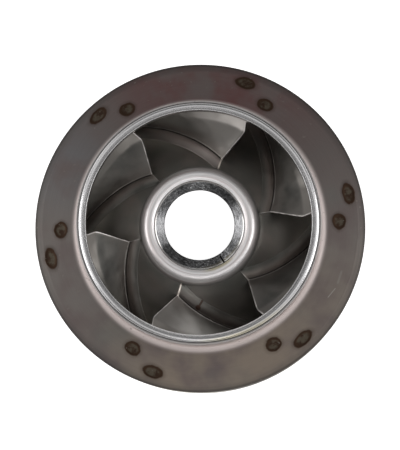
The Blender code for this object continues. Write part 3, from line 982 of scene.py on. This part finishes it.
def turned_ring():
    """The neck ring's bright, fine turned steel, with an oily film at the front right, painted light on
    the inner land at the front, and painted shade on the outer land at the front and back and in the
    groove.
    """
    look = Look("turned_ring")
    lines = look.lines(1.5, 6.0, 4.0, 0.65)
    front = look.rise(look.math("SINE", look.angle), -0.6, -0.95)
    inner_land = look.rise(look.radius, RING_GROOVE_RADIUS, RING_GROOVE_RADIUS - 0.2)
    outer_land = look.rise(look.radius, LAND_CREST_RADIUS, LAND_CREST_RADIUS + 1.1, 0.0, 0.9)
    outer_land = look.times(outer_land, look.rise(look.off_sides(), 0.45, 0.85, 0.1, 1.0))
    film = look.times(front, look.rise(look.x, -5.0, 15.0))
    below_land = look.rise(look.z, RING_INNER_LAND_Z - 0.05, RING_INNER_LAND_Z - 0.2)
    groove = look.band(look.radius, RING_GROOVE_RADIUS, RING_GROOVE_WIDTH / 2, 0.1)
    look.set("Base Color", look.coats(
        (0.8, 0.79, 0.795),
        (look.rise(lines, 0.3, 0.7), (0.92, 0.91, 0.915)),
        # Painted light: the inner land paler at the front.
        (inner_land, look.mix(front, (0.56, 0.55, 0.55), (1.0, 0.985, 0.975))),
        # Painted shade: the outer land darker at the front and back, with the oily film's tint at the
        # front right.
        (outer_land, look.mix(film, (0.42, 0.41, 0.41), (0.52, 0.48, 0.36))),
        # Painted shade in the hairline groove.
        (look.times(groove, below_land), (0.2, 0.19, 0.18)),
    ))
    look.set("Roughness", look.rise(lines, 0.3, 0.7, 0.21, 0.28))
    tangent = look.node("ShaderNodeTangent", direction_type="RADIAL", axis="Z")
    look.set("Tangent", tangent.outputs["Tangent"])
    look.set("Anisotropic", 0.2)
    look.set("Anisotropic Rotation", 0.25)
    look.set("Normal", look.bump(lines, 0.02, 0.4))
    return look.material


def slit_shade_share(look, away):
    """Whether a place lies on the slit's own walls or floor, from its angle away from the slit; these get
    painted shade.
    """
    off_slit = look.times(look.math("ABSOLUTE", look.math("SINE", away)), look.radius)
    floor_z = BUSH_FACE_Z - SLIT_DEPTH
    return look.times(
        look.rise(look.z, BUSH_FACE_Z - 0.08, BUSH_FACE_Z - BUSH_EDGE),
        look.rise(look.z, floor_z - 0.2, floor_z),
        look.rise(away, 1.5, 1.0),
        look.rise(off_slit, SLIT_WIDTH, SLIT_WIDTH / 2),
        look.rise(look.radius, SLIT_INNER_RADIUS - 0.2, SLIT_INNER_RADIUS),
    )


def turned_bush():
    """The bush's darker turned steel, with specks and pits on its face, a smear of oil by the slit and
    painted shade in the slit.
    """
    look = Look("turned_bush")
    lines = look.lines(8.0, 4.0, 4.0, 0.7, BUSH_FACE_Z)
    on_face = look.rise(look.z, BUSH_FACE_Z - 0.4, BUSH_FACE_Z - 0.2)
    on_face = look.times(on_face, look.rise(look.off_sides(), 0.3, 0.75, 0.12, 0.85))
    speck = look.rise(look.lines(22.0, 1.9, 1.0, 0.5), 0.54, 0.66, 0.0, 0.75)
    pit = look.rise(look.lines(16.0, 1.6, 1.0, 0.5), 0.52, 0.38, 0.0, 0.8)
    away = look.apart(look.angle, SLIT_ANGLE)
    smear = look.times(look.rise(away, 0.75, 0.1), look.rise(look.radius, 17.2, 18.6, 0.0, 0.6))
    chamfer = look.rise(look.radius, BUSH_FACE_RADIUS - 0.1, BUSH_FACE_RADIUS + 0.1)
    look.set("Base Color", look.coats(
        (0.085, 0.085, 0.087),
        (look.rise(lines, 0.38, 0.62), (0.26, 0.26, 0.265)),
        (look.times(speck, on_face), (0.58, 0.58, 0.59)),
        (look.times(pit, on_face), (0.025, 0.025, 0.026)),
        (smear, (0.3, 0.265, 0.16)),
        (chamfer, (0.5, 0.49, 0.48)),
        # Painted shade on the slit's walls and floor.
        (slit_shade_share(look, away), (0.015, 0.013, 0.01)),
    ))
    look.set("Roughness", look.rise(lines, 0.3, 0.7, 0.15, 0.23))
    return look.material


def web_tone(look, cloud, back, front):
    """The webs' warm grey, with painted light and shade: the back and front vanes lighter, the front one
    most near its leading edge, the other webs darker, all paler along the vane outside the back patch, and
    a painted highlight on the facet beyond the kink, strongest on the back vane.
    """
    along = look.kept("along")
    both = look.math("MAXIMUM", back, front)
    pale = look.rest(look.times(painted_shade_patch(look, BACK_PATCH), PATCH_SHARE))
    facet = look.rise(look.kept("facet"), 0.0, 0.9, 0.0, 0.8)
    return look.coats(
        (0.08, 0.078, 0.073),
        (look.rise(cloud, 0.3, 0.7), (0.145, 0.134, 0.123)),
        # Painted light on the back and front vanes and along each vane; painted shade on the other vanes.
        (look.times(both, 0.75), (0.2, 0.187, 0.173)),
        (look.times(pale, look.rise(along, 0.12, 0.5, 0.0, 0.75)), (0.36, 0.345, 0.32)),
        (look.times(front, look.rise(along, 0.03, 0.2, 0.0, 0.9)), (0.62, 0.6, 0.57)),
        (look.times(look.rest(both), 0.3), (0.05, 0.05, 0.045)),
        # Painted highlight on the facet beyond the kink, strongest on the back vane.
        (facet, (0.23, 0.213, 0.195)),
        (look.times(facet, back), (0.6, 0.56, 0.53)),
        (look.rise(look.kept("across"), 7.0, 1.0, 0.0, 0.7), (0.165, 0.147, 0.133)),
    )


def foot_tone(look, back, front):
    """The feet's browner sheet, with painted light on the back vane's foot and painted shade on the front
    vane's, which goes over into the cone's tone at the free edge.
    """
    free_edge = look.rise(look.kept("across"), -2.6, -5.6)
    return look.coats(
        (0.2, 0.175, 0.157),
        # Painted light on the back vane's foot, painted shade on the front vane's.
        (back, (0.46, 0.405, 0.38)),
        (front, (0.1, 0.088, 0.08)),
        (
            look.times(free_edge, look.rise(back, 0.0, 1.0, 1.0, 0.4)),
            look.mix(0.4, cone_tone(look), (0.05, 0.05, 0.045)),
        ),
    )


def fold_glint_share(look):
    """A painted highlight: the broken bright line along the foot's fold, on the vanes at the back right
    and front left.
    """
    return look.times(
        look.band(look.kept("across"), 0.35, 0.15, 0.3),
        look.rise(look.kept("along"), 0.45, 0.1, 0.0, 0.6),
        look.rise(look.math("ABSOLUTE", look.x), 18.0, 29.0),
        look.rise(look.noise(240.0), 0.4, 0.6, 0.2, 1.0),
        look.rise(look.times(look.x, look.y), -50.0, 50.0),
    )


def edge_glint_share(look):
    """A painted highlight along the vanes' leading edges, broken up by noise."""
    return look.times(
        look.rise(look.kept("along"), 0.005, 0.001),
        look.rise(look.kept("across"), -6.5, 0.0, 0.5, 0.9),
        look.rise(look.noise(260.0), 0.36, 0.62, 0.35, 1.0),
    )


def stain_share(look):
    """A rust-brown spot on the foot of the front vane, with a streak from it towards the hub."""
    x = look.math("SUBTRACT", look.x, STAIN_SPOT[0])
    y = look.math("SUBTRACT", look.y, STAIN_SPOT[1])
    streak = look.times(line_share(look, STAIN_SPOT, STREAK_END, 0.25, 0.4), 0.85)
    return look.math("MAXIMUM", look.rise(look.hypot(x, y), 1.5, 0.7), streak)


def vane_sheet():
    """The vanes' smooth sheet: grey webs, browner feet, painted highlights along the front edges and two
    folds, painted shade in the folds' creases, and one stained foot.

    Painted light and shade set the vanes apart: the back vane is lighter, the front vane's web lighter and
    its foot darker, and the other webs darker.
    """
    look = Look("vane_sheet")
    across = look.kept("across")
    cloud = look.noise(90.0, 3.0, 0.55)
    # Masks of the back vane and the front vane, which get painted light and shade.
    middle = look.rise(look.math("ABSOLUTE", look.x), 28.0, 18.0)
    back = look.times(middle, look.rise(look.y, 20.0, 28.0))
    front = look.times(middle, look.rise(look.y, -20.0, -28.0))
    foot_edge_glint = look.times(look.rise(look.kept("along"), 0.013, 0.006), look.rise(across, 0.3, -0.5))
    look.set("Base Color", look.coats(
        web_tone(look, cloud, back, front),
        (look.rise(across, -0.6, -1.8), foot_tone(look, back, front)),
        # Painted shade: a dark line in the crease of the foot's fold.
        (look.times(look.band(across, -0.75, 0.15, 0.45), 0.85), (0.03, 0.027, 0.025)),
        # Painted highlight along the folds of two vanes.
        (fold_glint_share(look), (0.34, 0.32, 0.3)),
        # Painted highlight along the leading edges.
        (edge_glint_share(look), (0.75, 0.71, 0.68)),
        # Painted highlight: a bright line on the foot's front edge of the back and front vanes.
        (look.times(foot_edge_glint, look.math("MAXIMUM", back, front), 0.9), (1.0, 0.9, 0.8)),
        (stain_share(look), (0.05, 0.028, 0.02)),
    ))
    look.set("Roughness", look.rise(cloud, 0.3, 0.7, 0.33, 0.42))
    fine = look.noise(900.0, 2.0, 0.6)
    dents = look.noise(95.0, 1.5, 0.45)
    look.set("Normal", look.bump(fine, 0.02, 0.3, look.bump(dents, 1.2, 0.8)))
    look.set("Metallic", 0.9)
    return look.material


def make_floor():
    """A plain white floor."""
    bpy.ops.mesh.primitive_plane_add(size=6.0, location=(0.0, 0.0, -0.0005))
    floor = bpy.context.active_object
    floor.name = "floor"
    material = bpy.data.materials.new("floor_white")
    material.use_nodes = True
    for name, value in (
        ("Base Color", (0.9, 0.9, 0.9, 1.0)), ("Roughness", 0.9), ("Specular IOR Level", 0.0),
        ("Emission Color", (1.0, 1.0, 1.0, 1.0)), ("Emission Strength", 0.9),
    ):
        material.node_tree.nodes["Principled BSDF"].inputs[name].default_value = value
    floor.data.materials.append(material)


def make_world():
    """A studio in bands: pale low down, then dark, pale higher up and dark overhead."""
    world = bpy.data.worlds.new("studio")
    bpy.context.scene.world = world
    world.use_nodes = True
    tree = world.node_tree
    background = tree.nodes["Background"]
    kinds = ("ShaderNodeTexCoord", "ShaderNodeSeparateXYZ", "ShaderNodeValToRGB", "ShaderNodeMapRange")
    place, parts, ramp, fade = [tree.nodes.new(kind) for kind in kinds]
    tree.links.new(place.outputs["Generated"], parts.inputs[0])
    tree.links.new(parts.outputs["Z"], ramp.inputs["Fac"])
    tree.links.new(ramp.outputs["Color"], background.inputs["Color"])
    set_range(fade, -1.0, 1.0, 1.2, 0.75)
    tree.links.new(parts.outputs["Y"], fade.inputs["Value"])
    tree.links.new(fade.outputs["Result"], background.inputs["Strength"])
    levels = (
        (0.0, 1.0), (0.34, 1.0), (0.45, 0.15), (0.66, 0.15),
        (0.77, 0.8), (0.93, 0.75), (0.985, 0.12), (1.0, 0.03),
    )
    fill_ramp(ramp.color_ramp, [(height, (level, level, level)) for height, level in levels])


def make_lamp(name, azimuth, elevation, width, height, power):
    """A soft box that faces the impeller."""
    lamp = bpy.data.lights.new(name, "AREA")
    lamp.shape = "RECTANGLE"
    lamp.size = width
    lamp.size_y = height
    lamp.energy = power
    item = add(name, lamp)
    turn = radians(azimuth)
    lift = radians(elevation)
    way = Vector((cos(turn) * cos(lift), sin(turn) * cos(lift), sin(lift)))
    item.location = way * LAMP_DISTANCE
    item.rotation_euler = way.to_track_quat("Z", "Y").to_euler()


def make_lights():
    """Two soft boxes at the sides and weak ones at the front and in two corners."""
    make_lamp("right_box", 0, 34, 0.7, 0.32, 2.3)
    make_lamp("left_box", 180, 34, 0.7, 0.32, 2.3)
    make_lamp("back_left_box", 135, 34, 0.45, 0.3, 0.3)
    make_lamp("front_right_box", -45, 34, 0.45, 0.3, 0.4)
    make_lamp("front_box", -90, 50, 0.5, 0.25, 0.5)


def make_camera():
    """The photograph's view, from above and a little to the front and right."""
    data = bpy.data.cameras.new("camera")
    data.lens = CAMERA_LENS
    data.sensor_width = CAMERA_SENSOR
    camera = add("camera", data)
    back = Vector((tan(CAMERA_TILT_X), tan(CAMERA_TILT_Y), 1.0)).normalized()
    right = Vector((0.0, 1.0, 0.0)).cross(back).normalized()
    up = back.cross(right)
    turn = Matrix((right, up, back)).transposed().to_4x4()
    place = (Vector(CAMERA_AIM) + back * CAMERA_DISTANCE) * MM
    camera.matrix_world = Matrix.Translation(place) @ turn
    bpy.context.scene.camera = camera


make_camera()
make_front_shroud(tinted_sheet())
make_back_shroud(hub_sheet())
make_neck_ring(turned_ring())
make_hub_bush(turned_bush())
make_vanes(vane_sheet())
make_floor()
make_world()
make_lights()
bpy.context.scene.view_settings.view_transform = "Standard"
